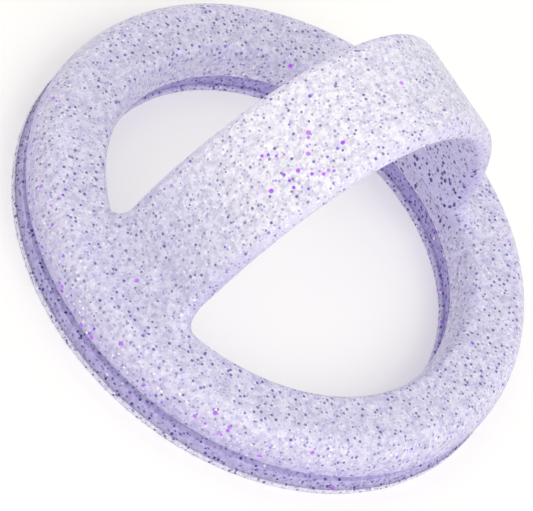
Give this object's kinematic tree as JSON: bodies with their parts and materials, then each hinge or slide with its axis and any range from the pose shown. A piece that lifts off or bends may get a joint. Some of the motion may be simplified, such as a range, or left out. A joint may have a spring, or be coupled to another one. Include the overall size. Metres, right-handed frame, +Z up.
{
  "type": "magnetic ring hand grip with finger loop",
  "caption": "Ring-shaped magnetic hand grip in glitter silicone, with a tall strap arched over its hole as a finger loop and arc magnets sealed inside the ring.",
  "frame": {"origin": "centre of the ring on the surface that it stands on, under the base pad", "axes": "+Z up through the ring's hole and the top of the loop, +X along the loop from foot to foot, +Y across the loop"},
  "size_m": [0.06, 0.06, 0.0329],
  "materials": {
    "glitter_silicone": "translucent lilac silicone full of glitter, satin from the mould",
    "grip_pad": "pale satin lip of tacky silicone",
    "moulded_plastic": "white, moulded",
    "nickel_plate": "nickel plated magnets",
    "yoke_steel": "zinc plated strip steel"
  },
  "bodies": {
    "ring": {"ring_cover": "glitter_silicone", "base_ring": "glitter_silicone", "base_pad": "grip_pad", "magnet_carrier": "moulded_plastic", "yoke_ring": "yoke_steel", "magnet_01": "nickel_plate", "magnet_02": "nickel_plate", "magnet_03": "nickel_plate", "magnet_04": "nickel_plate", "magnet_05": "nickel_plate", "magnet_06": "nickel_plate", "magnet_07": "nickel_plate", "magnet_08": "nickel_plate", "magnet_09": "nickel_plate", "magnet_10": "nickel_plate", "magnet_11": "nickel_plate", "magnet_12": "nickel_plate", "magnet_13": "nickel_plate", "magnet_14": "nickel_plate", "magnet_15": "nickel_plate", "magnet_16": "nickel_plate"},
    "loop": {"finger_loop": "glitter_silicone"}
  },
  "joints": [
    {"name": "loop_press", "type": "slide", "parent": "ring", "child": "loop", "axis": [0, 0, -1], "range_m": [0, 0.01], "stiffness_N_per_m": 250, "deforming": ["finger_loop"]}
  ]
}
